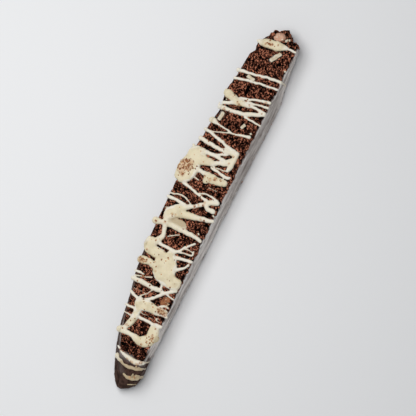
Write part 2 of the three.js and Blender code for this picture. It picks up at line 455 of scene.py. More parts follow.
# Ranges over which one kind of surface passes into another, for smooth_range.
BEYOND_HEEL = (-0.6, 0.6)  # in millimetres past the heel line
BROKEN = (BREAK_X + 0.5, BREAK_X + 2.5)
RIM = (0.3, -0.3)  # in millimetres below the ragged rim
LEVEL, ROUNDED, ON_BASE = (0.55, 0.9), (0.98, 0.6), (0.3, 0.75)  # by how squarely a face looks
CHIPPED, HAZY = (0.05, 0.5), (-0.1, 0.5)  # by the height of a wave
HEEL_GRAIN = (-70, -78)
BASE_SHEEN_START, FAINTER_FROM, FAINTER_TO = (-84, -75), (5, 25), (78, 62)  # the pale base, partly flour and mostly painted sheen, fainter along the middle
# Painted highlight along the base's rim, just below the ragged edge of the crumb.
RIM_HIGHLIGHT_DEPTH, RIM_HIGHLIGHT_GAPS = (1.3, 0.3), (-0.4, 0.3)
# Painted sheen on the heel's crust along the dome side, paler higher up.
HEEL_SHEEN_NEAR, HEEL_SHEEN_END, HEEL_SHEEN_HEIGHT = (-5, -1), (-60, -66), (7, 13)


def heel_line(y):
    """Where along the slice the cut crumb begins, beyond the crust of the heel."""
    return HEEL_X + HEEL_BOW * max(0.0, y - 2.0) ** 2


def pit(place, size, largest):
    """Depth from 0 to 1 of scattered round pits of uneven width."""
    distances, centres = noise.voronoi(place / (size * MM))
    radius = largest * noise.cell(centres[0] * PIT_LUCK)
    return smooth_range(radius, PIT_FLOOR * radius, distances[0]) if radius > SMALLEST_PIT else 0.0


def crumb_relief(place, dough):
    """Height of the cut crumb at a point, how deep in a pore it is, and how raised its grain is."""
    coarse = USUAL_GAP - noise.voronoi(place / dough.grain_size)[0][0]
    fine = USUAL_GAP - noise.voronoi(place / (FINE_GRAIN * dough.grain_size))[0][0]
    lumps = 1.3 * coarse + 0.9 * fine + 0.36 * swell(place, 4)
    pores = max(pit(place, 2.6, 0.46), pit(place, 1.6, 0.62))
    return dough.grain_height * lumps - dough.pore_depth * pores, pores, 0.5 + lumps


def crust_relief(place):
    """Height of the baked crust: low swells, small blisters and a few shallow pits."""
    blisters = 0.07 * MM * ripple(place, 1.1)
    return 0.26 * MM * swell(place, 4.5, 3) + blisters - 0.3 * MM * pit(place, 5, 0.16)


def break_relief(place, dough):
    """Height of the broken end, which came apart in lumps."""
    lumps = 0.5 - noise.voronoi(place / (3.6 * MM))[0][0]
    return dough.break_height * (1.1 * lumps + 0.5 * ripple(place, 2))


# Where the broken end stands out or is bitten in: (x, y, radius, height in millimetres).
BREAK_LUMPS = [(99.0, 0.2, 2.0, 0.6), (97.4, 4.8, 1.5, 0.8), (97.8, -5.9, 2.0, -2.1)]


def break_lump(x, y):
    """How far the broken end stands out at a place seen from above, in metres."""
    return MM * sum(
        height * smooth_range(radius, 0.2 * radius, math.hypot(x - lump_x, y - lump_y))
        for lump_x, lump_y, radius, height in BREAK_LUMPS
    )


def ragged_rim(x):
    """How far the crumb reaches down the side walls from the cut face, in millimetres."""
    return 0.7 + 1.6 * noise.noise(Vector((x / 6, 0, 0))) + 1.4 * noise.noise(Vector((x / 1.6, 5, 0)))


def flour_and_sheen(place, facing, depth, stray):
    """How pale the crust is painted: the base, partly flour and mostly a painted sheen, with a painted
    highlight along its rim; a painted sheen near the heel; and a faint haze of flour.
    """
    x, y = place_on_slice(place)
    fainter = 0.34 * smooth_range(*FAINTER_FROM, x) * smooth_range(*FAINTER_TO, x)
    base = smooth_range(*ON_BASE, -facing.y) * smooth_range(*BASE_SHEEN_START, x + 5 * stray) * (1 - fainter)
    # Painted highlight along the base's rim.
    rim_highlight = smooth_range(*RIM_HIGHLIGHT_DEPTH, abs(depth - 0.9)) * smooth_range(*RIM_HIGHLIGHT_GAPS, stray)
    # Painted sheen near the heel, paler higher up the dome side.
    heel_sheen = 0.4 * smooth_range(*HEEL_SHEEN_NEAR, x - heel_line(y)) * smooth_range(*HEEL_SHEEN_END, x)
    heel_sheen *= smooth_range(*HEEL_SHEEN_HEIGHT, place.z / MM + 4 * stray)
    haze = 0.16 * smooth_range(*HAZY, ripple(place, HAZE_SIZE))
    return max(base * (1 + rim_highlight), heel_sheen, haze)


def slice_surface(place, facing, dough):
    """How far a point stands out, and its share of crumb, pore, raised grain, and flour with painted sheen
    and highlight.
    """
    x, y = place_on_slice(place)
    stray = ripple(place, STRAY_SIZE)
    depth = min(TOP - place.z, place.z) / MM - ragged_rim(x)
    broken = smooth_range(*BROKEN, x + stray)
    flat = smooth_range(*LEVEL, abs(facing.z))
    beyond_heel = smooth_range(*BEYOND_HEEL, x + stray - heel_line(y))
    cut = max(flat, smooth_range(*RIM, depth)) * beyond_heel
    crumb = max(cut, broken)
    edge = smooth_range(*ROUNDED, abs(facing.z)) * cut
    chips = smooth_range(*CHIPPED, ripple(place, CHIP_SIZE)) * edge
    height, pore, grain = crumb_relief(place, dough)
    offset = crumb * height + (1 - crumb) * crust_relief(place) - CHIP_DEPTH * chips
    offset += broken * (break_relief(place, dough) + break_lump(x, y))
    grain -= 0.15 * smooth_range(*HEEL_GRAIN, x)
    return offset, crumb, pore * crumb, grain, flour_and_sheen(place, facing, depth, stray)


def biscuit_material(dough):
    """Speckled crumb with painted shade in its hollows and pores, brown crust, and a base that is partly
    flour and mostly painted sheen, with a painted highlight along its rim.
    """
    paint = Paint("baked_dough", roughness=0.85, specular=0.02)
    tree = paint.tree
    speckle = paint.pattern("Mottle", "Mask", Scale=1700.0, Balance=0.5, Softness=0.08)
    # Painted light and shade: the crumb is lighter where its grain is raised and near black in hollows and
    # pores.
    level = calculate(tree, "ADD", paint.attribute("grain"), remap(tree, speckle, 0.0, 1.0, -0.42, 0.36))
    crumb = mix_colours(tree, remap(tree, level, 0.48, 0.84), dough.crumb_dark, dough.crumb)
    crumb = mix_colours(tree, remap(tree, level, 0.76, 1.2), crumb, dough.crumb_light)
    crumb = mix_colours(tree, remap(tree, paint.attribute("pore"), 0.04, 0.3), crumb, dough.pore)
    crust = paint.pattern(
        "Mottle", "Color", Scale=430.0, Balance=0.48, Softness=0.24, Dark=dough.crust_dark, Light=dough.crust
    )
    base = paint.pattern(
        "Mottle", "Color", Vector=paint.drawn_out(0.22), Scale=300.0, Balance=0.47, Softness=0.16,
        Dark=dough.base_dark, Light=dough.base,
    )
    wrinkles = paint.pattern(
        "Mottle", "Mask", Vector=paint.drawn_out(0.1), Scale=1500.0, Balance=0.48, Softness=0.16
    )
    base = mix_colours(tree, remap(tree, wrinkles, 0.0, 1.0, 0.45, 0.0), base, dough.base_dark)
    flecks = paint.pattern("Specks", "Mask", Vector=paint.drawn_out(0.6), Scale=430.0, Size=0.22, Share=0.32)
    base = mix_colours(tree, calculate(tree, "MULTIPLY", flecks, 0.5), base, dough.crust)
    # Pale base: partly flour and mostly painted sheen. Values above 1 pass into the painted rim highlight.
    dust_and_sheen = paint.attribute("dust_and_sheen")
    baked = mix_colours(tree, remap(tree, dust_and_sheen, 0.0, 1.0), crust, base)
    # Painted highlight along the base's rim.
    baked = mix_colours(tree, remap(tree, dust_and_sheen, 1.0, 1.8), baked, dough.rim_highlight)
    crumb_share = paint.attribute("crumb")
    paint.feed("Base Color", mix_colours(tree, crumb_share, baked, crumb))
    paint.feed("Roughness", remap(tree, crumb_share, 0.0, 1.0, 0.66, 0.9))
    paint.bump(distance=0.25 * MM, strength=0.7, Scale=1700.0, Lumps=0.5)
    return paint.material


class BISCOTTI_OT_biscuit(bpy.types.Operator):
    """Makes the baked slice: rough crumb on its cut faces and broken end, crust on the rest"""

    bl_idname = "biscotti.biscuit"
    bl_label = "Biscuit"

    def execute(self, context):
        dough = context.scene.biscotti.dough
        solid = node_copy("biscuit")
        faces = BVHTree.FromBMesh(solid)
        mesh = skin_over(solid, "biscuit_slice", dough.skin_step)
        points = [vertex.co for vertex in mesh.vertices]
        rows = [slice_surface(point, faces.find_nearest(point)[1], dough) for point in points]
        lay_surface(mesh, ["crumb", "pore", "grain", "dust_and_sheen"], rows)
        new_piece("biscuit_slice", mesh, biscuit_material(dough), "baked_dough", ["biscuit"])
        return {"FINISHED"}


def resting_height(crumb_faces, x, y):
    """Height of the cut face at a place, or of the broken crumb beyond it."""
    if x < SLOPE_X:
        return TOP
    hit = hit_from_above(crumb_faces, x, y)
    if hit is None:
        raise RuntimeError(f"nothing to rest on at {x:.1f}, {y:.1f}")
    return hit.z


# ---------- The white chocolate

PATH_STEP = 0.35  # from one drop of a stroke to the next, in millimetres
DROP_RISE = 0.52  # half a drop's height, as a share of its width
TALLEST_DROP = 3.0
FILM_FULLNESS = 0.3  # as a share of a stroke's
DOME_Y = 8  # beyond it a stroke may jut past the dome's edge
SINK, LAP = 0.7 * MM, 2.2 * MM  # how deep a drop reaches into the crumb, and down past the edge
CLEARANCE = 0.05  # from the surface to the middle of what is set on it
NEAR_DISCS = 8  # how many discs tell the usual width of the strokes round a place
POOL_WIDTH = (1.6, 4.2)  # from the widest thread to the narrowest pool
FILM_FADE = (1.0, 0.6)  # thickness at which a film is as opaque as a stroke
SWELL_HEIGHT, SWELL_SIZE = 0.15 * MM, 2.6  # of the chocolate's uneven skin

# Strokes of the drizzle, each a smooth curve through discs of (x, y, width) on the cut face.
STROKES = [
    # heel stripes
    [(-85.1, 4.8, 3.4), (-86, 2.6, 2.4)],
    [
        (-80, 5.7, 0.9), (-81.7, 3.4, 1.1), (-82.8, 1, 1.7), (-83.4, -2.5, 2.6), (-83.5, -6.5, 2.9),
        (-82.6, -9.6, 2),
    ],
    # ring
    [
        (-72.3, 8.9, 3.7), (-72.2, 6.4, 3), (-72.2, 2.5, 2.5), (-72.7, -1, 3.6), (-73.1, -3.4, 5),
        (-72.3, -6, 6),
    ],
    [(-72.2, -6.4, 5.4), (-70.2, -7.6, 6), (-67.4, -7.9, 6), (-65, -7.2, 4.8), (-63.4, -6.6, 3)],
    [(-69.4, -8.6, 5), (-68.6, -9.8, 3.6)],
    [(-66.6, -8.8, 3.6), (-64, -8.5, 3)],
    [(-62.4, 4.6, 2), (-62.5, 0, 1.8), (-62.5, -5, 1.9), (-62.1, -9.8, 2)],
    # cross band
    [
        (-71.4, 7, 2.4), (-68.7, 6.1, 3.2), (-66, 5.1, 3.7), (-63.4, 4.6, 4), (-60, 4.7, 4),
        (-57, 5, 4.4), (-54.4, 6.2, 3),
    ],
    [(-63.4, 5, 1), (-63.3, 10.8, 0.9)],
    [(-59.7, 5, 1.5), (-59.6, 11.6, 1.3)],
    [(-55, 5.5, 2.4), (-53.9, 8.5, 1.8), (-52.8, 12.2, 1.8)],
    [(-60.1, 3, 0.7), (-60.1, -1, 0.5), (-60.3, -4.4, 0.5)],
    [(-60.3, -8.6, 0.6), (-60.2, -6.6, 0.7), (-59.4, -5.8, 0.8), (-58.9, -7, 0.6)],
    [(-56, 5, 5.6), (-55.7, 2, 6.2), (-55.6, -1, 5.4), (-55.8, -3.6, 4.6)],
    [(-57, -4, 2.4), (-56.6, -7, 2), (-56.2, -10.2, 1.8)],
    [(-53.6, -5, 2.2), (-52.2, -6.6, 1.4), (-52, -9, 1.1)],
    # crossing threads
    [
        (-53.4, 3.6, 2), (-51.4, 1, 1.8), (-49.6, -1, 1.7), (-47, -3, 1.8), (-45.2, -5.2, 1.8),
        (-42.6, -8.6, 2),
    ],
    [(-52.4, 6.8, 0.9), (-50.2, 4.2, 0.7), (-48, 2.8, 0.8), (-46.6, 1.8, 0.8)],
    [(-50.3, 11.6, 0.5), (-50.3, 8, 0.5), (-50.2, 5, 0.5)],
    [(-46.1, 14.4, 2.4), (-45.9, 9, 2.7), (-46.1, 4, 2.5), (-46.1, 1, 2.8), (-45.6, -1.4, 2.4)],
    [(-45.8, -1.8, 1.6), (-46.2, -5, 1.2), (-46.9, -9.6, 1.1)],
    [(-45.2, -1.2, 1.5), (-43, -0.9, 1.5), (-41, -0.6, 1.8)],
    [(-44.4, 14, 0.8), (-43.2, 9.4, 0.8), (-41.6, 5.6, 0.9)],
    [(-42.1, 14.8, 1.5), (-42, 12, 1.3), (-41.9, 10, 0.8)],
    # great pool
    [
        (-39.8, -6.5, 6.6), (-39.6, -3.6, 7.2), (-38.8, 0, 7.6), (-37.4, 3.2, 7.6), (-34.6, 3.8, 8.4),
        (-31, 4, 7.8),
    ],
    [(-41.4, -7.6, 3.4), (-38.2, -7.8, 3.4)],
    [(-37.2, -1.8, 6), (-34.2, -1.4, 6), (-30.6, 0.4, 6.4), (-27.4, 2, 5)],
    [(-36.2, 5, 5), (-35.4, 8.6, 3.4), (-35.3, 11, 3.6), (-35.6, 13.6, 4.6), (-36, 15, 3.6)],
    [
        (-30.6, 4, 6.6), (-29.4, 7.5, 5.8), (-29.2, 11, 5.8), (-28.6, 13.6, 6), (-26.8, 14.2, 6.4),
        (-25, 14, 4.4),
    ],
    [(-27.6, 15.6, 3.4), (-24.4, 15.9, 2.2)],
    [(-25, 1.4, 2.4), (-24.7, 5, 1.9), (-24.6, 9, 2), (-24.4, 12, 3)],
    # great pool threads
    [(-34, -2.6, 2.4), (-32.2, -5, 1.9), (-30.4, -7.2, 1.5), (-28.2, -8.6, 1.4)],
    [(-27.4, 0, 2.4), (-26.8, -4, 1.8), (-25.9, -9.4, 1.7)],
    [(-25, 0.6, 2), (-23.6, -1, 1.4), (-21, -3, 1.4), (-19, -4.9, 1.4), (-16.9, -6.8, 1.2)],
    [(-24.4, -0.6, 1.1), (-23.4, -4.6, 1), (-23, -8, 1.2), (-21, -8, 0.9)],
    [(-21.9, -2.6, 0.9), (-21.2, -5.2, 0.8), (-21.7, -7.6, 0.8)],
    # band
    [(-25, 12.4, 4), (-22.6, 11, 3), (-20, 9.9, 2.6), (-17, 10.9, 2.6), (-14, 11.8, 3)],
    [(-19.6, 7.6, 0.8), (-17.7, 4.8, 0.8), (-16.2, 2.4, 0.7)],
    [(-14, 12.6, 2.8), (-14.7, 14.8, 2.8), (-15.1, 16.9, 4.2)],
    [(-13.4, 12, 3.2), (-13.6, 8.6, 3.1), (-13.7, 3.5, 2.9), (-13.8, -4, 2.4), (-14.4, -8.6, 2.2)],
    [(-11.6, -6, 1), (-11.9, -6.5, 0.9)],
    # corner pool
    [
        (-12.6, 12.2, 2.8), (-9.8, 13, 3.4), (-7.4, 12, 5), (-5.8, 9.6, 5.8), (-4.4, 8, 5),
        (-2.6, 6, 3.2), (-0.9, 3.4, 2.2),
    ],
    [(-9.2, 13.6, 2.6), (-8, 14, 2.2)],
    [(-10.6, 11.4, 3), (-9.4, 9.6, 3.2)],
    [(-6.8, 8, 5), (-6, 4.6, 4.3), (-5.4, 1.8, 3.7), (-4.7, -1.8, 3), (-3.7, -6, 2.6), (-2.9, -9.8, 2)],
    [(-1.4, 4, 2.2), (0.6, 1, 2.1), (2.4, -1, 2.2), (3.6, -2.6, 2.6)],
    [(3.4, -2.9, 2.4), (1.8, -4.4, 2.6), (1.7, -7.8, 2.4)],
    [(4, -3, 2.6), (5.4, -5.2, 2.9), (6.2, -8, 2.7)],
    [(-0.2, -8.8, 0.9), (-0.6, -9.4, 0.8)],
    [(-7, 15.9, 0.6), (-5.8, 13.6, 0.6), (-4.4, 11.4, 0.7)],
    [(-1.3, 16.6, 2), (-1, 11, 1.7), (-1.4, 6.6, 1.6)],
    [(0.7, 16.6, 1), (2.2, 10.4, 1), (1, 6, 0.9), (0.2, 4.4, 0.9)],
    [(8.4, 12.4, 2.1), (7.7, 9, 1.7), (6.4, 4, 1.4), (5.4, 0, 1.5), (5, -2.4, 2)],
    [(7, 2.6, 1), (7.8, 0, 1.1), (8, -4, 1.2), (7.3, -7.4, 1.3)],
    # dome pool
    [
        (9.8, 14.4, 4.2), (12, 13.6, 7.4), (15.4, 13.1, 9.8), (18.6, 13, 9.8), (21.8, 13, 9.2),
        (24.4, 13, 8.2),
    ],
    [(11, 16.3, 4.8), (13.4, 16.9, 4.4), (17.4, 16.9, 4.2), (20.4, 15.4, 4)],
    [(24, 14.6, 5), (25.8, 13.8, 5)],
    [(26.6, 15.4, 2.2), (27.9, 16.5, 1.5)],
    [(22.8, 9.6, 5.6), (23.2, 6, 4.6), (23.8, 2.6, 2.8), (25, 0, 2.2), (26.2, -3, 2.8)],
    [(27.1, 11.4, 3.2), (27.2, 7, 2.2), (27.4, 3, 2), (27, -1.6, 2.1)],
    [(27.6, 5.2, 1), (29, 2, 1.3), (30.6, -1.4, 1.6)],
    # base pool
    [(23.2, -5.3, 1.7), (25, -5.7, 2.6), (28, -5.9, 3), (31, -5.8, 3), (33, -5.8, 2.8)],
    [(27.2, -3.6, 3), (28.4, -4.6, 3)],
    [(32.5, 14.8, 2.4), (31.9, 9, 2.3), (31.6, 4, 2.2), (31.8, 0, 2.4), (32.4, -4, 3.2)],
    [(37.6, 14.6, 1.8), (36.9, 10.6, 1.7), (35.9, 6, 1.8), (34.8, 2, 1.7), (33.9, -1.6, 2), (33.2, -6, 2)],
    [(36.2, 3.2, 0.9), (35.6, 3.6, 0.9)],
    # bar
    [(14.2, 2.5, 3.4), (15.7, 2, 4.9), (16.2, -0.4, 4.7), (16.5, -3.6, 4.2), (16.8, -6.6, 3.7)],
    [(17, 3.4, 3.2), (17.2, 2.4, 3.2)],
    [(17.6, 9.4, 3), (17.4, 7, 2.2), (17.2, 4.6, 2.6)],
    [(21.2, 3, 1.1), (20.8, 0, 1.5), (20.3, -3, 1.7), (19.9, -6.4, 1.8), (20.6, -8, 1.2)],
    [(22.2, 2.4, 0.8), (22.3, -1.4, 0.8), (22.9, -5, 0.9)],
    [(13.2, 8.6, 0.9), (12.9, 6.2, 0.9)],
    [(11.5, -0.4, 0.5), (11.6, -4.8, 0.5)],
    # streaks
    [(37.9, 12, 0.8), (39.5, 6.6, 0.8), (41, 2.2, 1), (42.2, -3, 1.3), (43, -6.4, 1.6), (43.3, -7.7, 2)],
    [(43.3, 13.8, 3.2), (43.4, 12.5, 3.1), (42.5, 9.6, 1.3), (42.1, 5, 1.1), (41.4, 1.8, 1)],
    [
        (51.2, 12.4, 2.7), (51.3, 10.6, 2.3), (51.7, 6, 2.2), (52.5, 1, 2.3), (54.3, -4, 2.3),
        (56.5, -9.4, 2),
    ],
    [(51.6, -1.2, 1.5), (51.2, -5, 1.2), (50.9, -10, 1.2)],
    [(50.2, 13.4, 1.2), (51.6, 14, 1), (52.8, 14.1, 0.8)],
    # knot
    [(58.8, 11.9, 4.8), (58.4, 10.4, 4), (57.7, 8, 3.7), (57.2, 5, 4), (57.4, 2, 3.1), (57.6, -1, 2.2)],
    [(53.6, 12.4, 1.7), (54.7, 9.6, 1.9), (56, 7, 2.4)],
    [(57.7, -1, 1.6), (57.8, -5, 1.5), (57.2, -9.4, 1.7)],
    [(58.8, 1, 1.2), (59.4, -2, 1.1), (60.2, -6, 1.2), (60.6, -9.6, 1.7)],
    [(59.2, 5.4, 1.5), (61.2, -1, 1.4), (62.4, -5.2, 1.5), (63.4, -9.4, 1.9)],
    # end streaks
    [(67.4, 12.6, 1.5), (68.8, 6.6, 1.5), (69.7, 1, 1.5), (70.4, -5, 1.4), (71, -9.8, 1.3)],
    [(71.8, 12.8, 2.2), (72.6, 7, 1.6), (73.7, 1, 1.5), (74.8, -5, 1.6), (75, -9.9, 1.6)],
    # end bar
    [
        (89.4, 10.6, 1.3), (89.5, 8.4, 3), (90.1, 5.4, 4.6), (90.5, 2.4, 5.2), (90.9, -0.6, 4.8),
        (91.6, -3.4, 3), (92, -6, 1.5), (91.8, -9.7, 1.3),
    ],
    [(95, -2.7, 1.5), (96.2, -3, 1.3)],
]

# Flat patches where the chocolate is only a film, in the same form.
FILMS = [
    [(-96, -5.9, 0.8), (-95, -7.9, 1), (-94.2, -9, 0.9)],
    [(-92.1, -2.4, 1.2), (-92.3, -4.8, 2.3), (-91.6, -7.2, 3), (-90.6, -9.3, 3.2)],
    [(-86.2, 2, 2.3), (-87.2, -1.2, 1.8), (-87.4, -4, 1.8), (-86.9, -7, 1.7), (-85.9, -9.8, 1.5)],
    [(-11.4, 9.8, 2.6), (-10.6, 8.4, 3), (-10.7, 6.2, 3.2), (-10.8, 4, 3.5), (-11.4, 1.8, 2.4)],
    [(-55.4, -5.6, 4.4), (-55, -8.4, 3.4)],
    [(-51.2, -7.6, 1.2), (-50, -8.4, 0.9)],
]

# Runs of chocolate down the two long walls: (x at the top, x at the end, lowest z, width).
BASE_RUNS = [
    (-90.6, -89.6, 2.0, 2.6), (-85.9, -85.1, 7.0, 1.3), (-82.4, -81.0, 3.5, 1.3),
    (-69.2, -68.8, 11.5, 3.8), (75, 75.2, 6.5, 1.6),
]
DOME_RUNS = [
    (-72, -71.6, 9.5, 3.0), (-46.1, -46.3, 11.0, 1.8), (-36, -36.2, 11.5, 3.0),
    (-27.4, -27.2, 10.5, 3.4), (-24.2, -24.0, 12.8, 1.8), (-15.2, -15.2, 12.0, 2.6),
    (-1.3, -1.4, 12.6, 1.5), (37.6, 38.0, 12.4, 1.6), (43.2, 43.4, 13.2, 2.6), (51.2, 51.6, 11.4, 2.4),
    (59.2, 59.6, 12.0, 2.6), (71.8, 71.6, 12.6, 1.6),
]

# Crumb rubbed into the chocolate: (x, y, radius).
SMEARS = [
    (-81.3, 3.6, 0.9), (-82.6, -8.8, 1.1), (-84.3, -1.5, 1.1), (-84.6, -4.5, 1.3), (-84.5, -7.5, 1.3),
    (-92, -6, 0.9), (-91, -8.4, 0.9), (-74.2, -5, 0.8), (-71.8, -7, 0.9), (-69.4, -8.8, 1.2),
    (-67.8, -8.2, 1), (-68.7, 6.3, 0.9), (-64, -8, 0.7), (-54.8, -6, 2.2), (-55.6, -8.8, 1.8),
    (-50.6, -7.8, 1.4), (-46.2, 11.4, 0.7), (-36.2, 14.4, 2), (-35.4, 12, 1), (-38, 5, 0.8),
    (-30, 14, 0.8), (-23.8, 12, 0.8), (-13.6, 12, 0.9), (-15.2, 16.4, 0.8), (-8.4, 10.4, 0.9),
    (-8, 8.6, 0.7), (-4.6, -4, 0.8), (-4.4, -6, 0.7), (0, 2, 1), (1.4, 0.2, 0.8), (2.4, -2.2, 1),
    (3.8, -2, 1.1), (12.4, 15, 2), (14.6, 16.4, 3), (17.4, 16, 3.2), (16, 13.6, 2.4), (19.2, 13.4, 2),
    (27, -4.5, 0.7), (31, -4.9, 0.9), (15.7, 4, 1.0), (15.5, 0.6, 1.3), (16.8, -1.8, 1.4),
    (17.4, -4.6, 0.9), (50.7, 10.4, 1.1), (56.6, 5.3, 0.9), (57.8, -0.6, 0.7), (62.6, -7.8, 0.9),
    (56.8, -8.4, 0.7), (89.6, 5.6, 0.9), (90.2, 2.8, 1.4), (91.4, -0.4, 0.7),
]


def smooth_path(points, step):
    """Points of a smooth curve through the given ones, about a step apart."""
    points = [Vector(point) for point in points]
    ends = [points[0], *points, points[-1]]
    for before, start, end, after in zip(ends, ends[1:], ends[2:], ends[3:]):
        count = max(1, round((end - start).length / step))
        for i in range(count):
            t = i / count
            yield 0.5 * (
                2 * start
                + (end - before) * t
                + (2 * before - 5 * start + 4 * end - after) * t**2
                + (3 * start - 3 * end + after - before) * t**3
            )
    yield points[-1]


def add_drop(bm, centre, sizes):
    """A round drop of the given half sizes, and its points."""
    matrix = Matrix.LocRotScale(centre, None, Vector(sizes))
    return bmesh.ops.create_icosphere(bm, subdivisions=2, radius=1.0, matrix=matrix)["verts"]


def ground_below(faces, crumb_faces, x, y):
    """Height of the slice under a stroke, which stays level where it juts past the dome's edge."""
    if x > HEEL_X:
        return resting_height(crumb_faces, x, y)
    hit = hit_from_above(faces, x, y)
    return hit.z if hit else faces.find_nearest(on_slice(x, y, TOP / MM))[0].z


def settle(height, fullness, depth):
    """A height above the crumb, flattened as poured chocolate is, or a shallower depth below it."""
    limit = fullness if height > 0 else depth
    return limit * math.tanh(height / limit)


def gather(parts):
    """One bmesh of all the parts, each of which is freed. Small parts keep each bmesh quick."""
    whole = bmesh.new()
    for part in parts:
        mesh = finished_mesh(part, "part")
        whole.from_mesh(mesh)
        bpy.data.meshes.remove(mesh)
    return whole


def wandering(discs, drizzle):
    """The discs of a stroke, close together, with the wobble of a hand in their place and width."""
    for x, y, width in smooth_path(discs, PATH_STEP):
        spot = Vector((x, y, 0))
        aside = drizzle.wobble / MM * noise.noise(spot * 0.45)
        swelling = 0.2 * noise.noise(spot * 0.9 + Vector((7, 0, 0)))
        yield Vector((x + aside, y, width * (1 + swelling)))


def pour_stroke(faces, crumb_faces, path, drizzle, film=False):
    """One stroke of the drizzle on the slice, as overlapping drops."""
    bm = bmesh.new()
    fullness = drizzle.fullness * (FILM_FULLNESS if film else 1.0)
    for x, y, width in path:
        ground = ground_below(faces, crumb_faces, x, y)
        centre = on_slice(x, y)
        centre.z = ground + CLEARANCE * MM
        past_edge = y > DOME_Y and not faces.ray_cast(centre + 20 * MM * UP, -UP)[0]
        sizes = (width * MM / 2, width * MM / 2, min(DROP_RISE * width, TALLEST_DROP) * MM)
        for vertex in add_drop(bm, centre, sizes):
            vertex.co.z = ground + settle(vertex.co.z - ground, fullness, LAP if past_edge else SINK)
    return bm


def stroke_lookup(strokes, films):
    """A function that gives the usual width of the strokes round a place, and the share of films."""
    discs = [(disc, film) for film, paths in enumerate((strokes, films)) for path in paths for disc in path]
    tree = KDTree(len(discs))
    for index, (disc, _) in enumerate(discs):
        tree.insert((disc.x, disc.y, 0), index)
    tree.balance()

    def look_up(x, y):
        found = [discs[index] for _, index, _ in tree.find_n((x, y, 0), NEAR_DISCS)]
        return sum(disc.z for disc, _ in found) / len(found), sum(film for _, film in found) / len(found)

    return look_up


def pour_run(faces, side, top_x, end_x, lowest, width):
    """Chocolate that ran down a long wall, the base's at side -1 or the dome's at side 1."""
    bm = bmesh.new()
    start, end = Vector((top_x, TOP / MM + 0.2, 1.3 * width)), Vector((end_x, lowest, 0.85 * width))
    middle = (start + end) / 2 + Vector((0.2, 0, -0.35 * width))
    for x, z, size in smooth_path([start, middle, end], PATH_STEP):
        x += 0.3 * noise.noise(Vector((x, z, 3)) * 0.6)
        level = min(z, TOP / MM - 0.5)
        wall = faces.ray_cast(on_slice(x, side * RAY_START, level), Vector((0, -side, 0)))[0]
        if wall:
            thin = 0.3 + 0.12 * size
            add_drop(bm, Vector((x * MM, wall.y, z * MM)), (size * MM / 2, thin * MM, size * MM / 2))
    return bm


def smeared(x, y):
    """How much crumb is rubbed into the chocolate at a place."""
    return max(smooth_range(1.3 * r, 0.2 * r, math.hypot(x - sx, y - sy)) for sx, sy, r in SMEARS)


def chocolate_material(drizzle):
    """White chocolate: creamy pools, threads made whiter by a painted sheen, thin films, tan stains and
    rubbed-in crumb.
    """
    paint = Paint("white_chocolate", roughness=0.46, specular=0.35)
    paint.shader.inputs["Subsurface Weight"].default_value = 0.1
    paint.shader.inputs["Subsurface Radius"].default_value = (1.0, 0.8, 0.5)
    paint.shader.inputs["Subsurface Scale"].default_value = 0.8 * MM
    tree = paint.tree
    pool, smear = paint.attribute("pool"), paint.attribute("smear")
    body = paint.pattern(
        "Mottle", "Color", Scale=240.0, Balance=0.42, Softness=0.2,
        Dark=drizzle.shade, Light=drizzle.chocolate,
    )
    # Painted sheen: thin threads take the whiter colour, pools the creamy one.
    shade = mix_colours(tree, pool, drizzle.thread_sheen, body)
    edge = remap(tree, paint.attribute("thickness"), 0.02, 0.4, 0.7, 0.0)
    film = calculate(tree, "MAXIMUM", edge, paint.attribute("film"))
    shade = mix_colours(tree, film, shade, drizzle.film)
    stains = paint.pattern("Specks", "Mask", Scale=470.0, Size=0.2, Share=0.45)
    shade = mix_colours(tree, calculate(tree, "MULTIPLY", stains, pool), shade, drizzle.tan)
    shade = mix_colours(tree, remap(tree, smear, 0.1, 1.0, 0.0, 0.5), shade, drizzle.tan)
    rubbed = paint.pattern("Specks", "Mask", Scale=780.0, Size=0.5, Share=0.85)
    streaks = paint.pattern("Mottle", "Mask", Scale=800.0, Balance=0.6, Softness=0.06)
    crumbs = calculate(tree, "MAXIMUM", rubbed, streaks)
    mask = calculate(tree, "MULTIPLY", remap(tree, smear, 0.15, 0.65), crumbs)
    shade = mix_colours(tree, calculate(tree, "MULTIPLY", mask, 0.85), shade, drizzle.smear)
    paint.feed("Base Color", shade)
    paint.feed("Roughness", remap(tree, mask, 0.0, 1.0, 0.46, 0.75))
    paint.bump(distance=0.12 * MM, strength=0.35, Scale=900.0, Lumps=0.25)
    return paint.material


